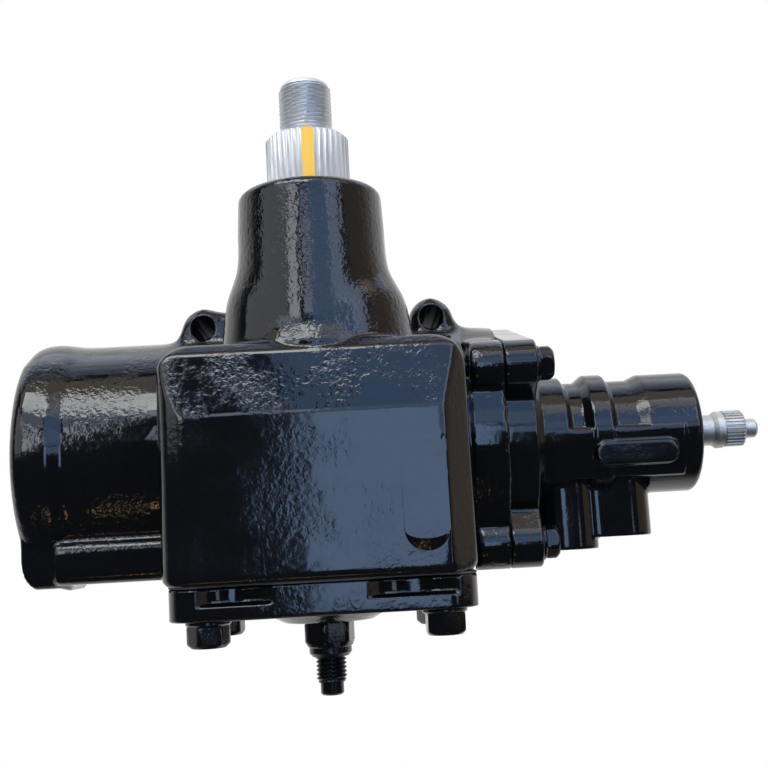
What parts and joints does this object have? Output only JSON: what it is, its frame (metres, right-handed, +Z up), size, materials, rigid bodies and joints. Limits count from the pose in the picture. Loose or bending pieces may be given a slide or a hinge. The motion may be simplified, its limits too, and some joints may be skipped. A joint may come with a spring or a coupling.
{
  "type": "steering gearbox",
  "caption": "Integral power steering gearbox: cast housing with a rack piston and ball worm that swing a splined sector shaft, driven through a bolted valve housing.",
  "frame": {"origin": "middle of the four frame bolt holes, on the mounting face", "axes": "+X along the worm axis towards the input shaft, +Y out of the mounting face into the frame rail, +Z up along the sector shaft towards its threaded end"},
  "size_m": [0.326, 0.1542, 0.2531],
  "materials": {
    "black_paint": "thick gloss black paint over rough cast iron",
    "machined_steel": "bare turned and ground steel",
    "bearing_steel": "polished hardened steel",
    "plain_steel": "dull oiled steel",
    "seal_rubber": "black nitrile rubber",
    "seal_plastic": "filled PTFE, matte",
    "gasket_fibre": "dark fibre gasket, matte",
    "bearing_bronze": "plain bronze"
  },
  "bodies": {
    "housing": {"main_housing": "black_paint", "end_plug": "plain_steel", "end_plug_seal": "seal_rubber", "end_plug_snap_ring": "plain_steel", "sector_cover": "black_paint", "cover_gasket": "gasket_fibre", "cover_bolts": "black_paint", "cover_bushing": "bearing_bronze", "adjuster_locknut": "black_paint", "adjuster_screw": "black_paint", "sector_bearing_shell": "bearing_steel", "sector_bearing_needles": "bearing_steel", "sector_oil_seal": "seal_rubber", "sector_seal_washer": "plain_steel", "sector_dust_seal": "seal_rubber", "sector_snap_ring": "plain_steel", "valve_housing": "black_paint", "valve_housing_seal": "seal_rubber", "valve_housing_bolts": "black_paint", "thrust_races": "bearing_steel", "thrust_rollers": "bearing_steel", "input_bearing_shell": "bearing_steel", "input_bearing_needles": "bearing_steel", "input_oil_seal": "seal_rubber", "input_dust_seal": "seal_rubber", "input_snap_ring": "plain_steel", "pressure_port_seat": "bearing_bronze", "return_port_seat": "bearing_bronze"},
    "sector": {"sector_shaft": "machined_steel", "adjuster_retainer": "plain_steel"},
    "rack": {"rack_piston": "machined_steel", "piston_ring": "seal_plastic", "piston_ring_backer": "seal_rubber", "piston_end_plug": "plain_steel", "recirculating_balls": "bearing_steel", "ball_return_guide": "plain_steel", "guide_clamp": "plain_steel", "guide_screws": "plain_steel"},
    "worm": {"worm_shaft": "machined_steel", "valve_sleeve": "machined_steel", "valve_sleeve_rings": "seal_plastic", "valve_drive_pin": "plain_steel"},
    "input": {"input_shaft": "machined_steel", "torsion_bar": "machined_steel", "torsion_bar_pin": "plain_steel"}
  },
  "joints": [
    {"name": "worm_turn", "type": "hinge", "parent": "housing", "child": "worm", "pos_m": [0, -0.058, 0], "axis": [1, 0, 0], "range_deg": [-602, 602]},
    {"name": "sector_swing", "type": "hinge", "parent": "housing", "child": "sector", "pos_m": [0, -0.11, 0], "axis": [0, 0, 1], "range_deg": [-43.1, 43.1]},
    {"name": "rack_slide", "type": "slide", "parent": "housing", "child": "rack", "axis": [1, 0, 0], "range_m": [-0.01955, 0.01955]},
    {"name": "input_twist", "type": "hinge", "parent": "worm", "child": "input", "pos_m": [0.1, -0.058, 0], "axis": [1, 0, 0], "range_deg": [-5, 5], "stiffness_Nm_per_rad": 70}
  ],
  "couplings": [
    {"joint": "sector_swing", "follows": "worm_turn", "ratio": 0.071429},
    {"joint": "rack_slide", "follows": "worm_turn", "m_per_rad": -0.0018571}
  ]
}
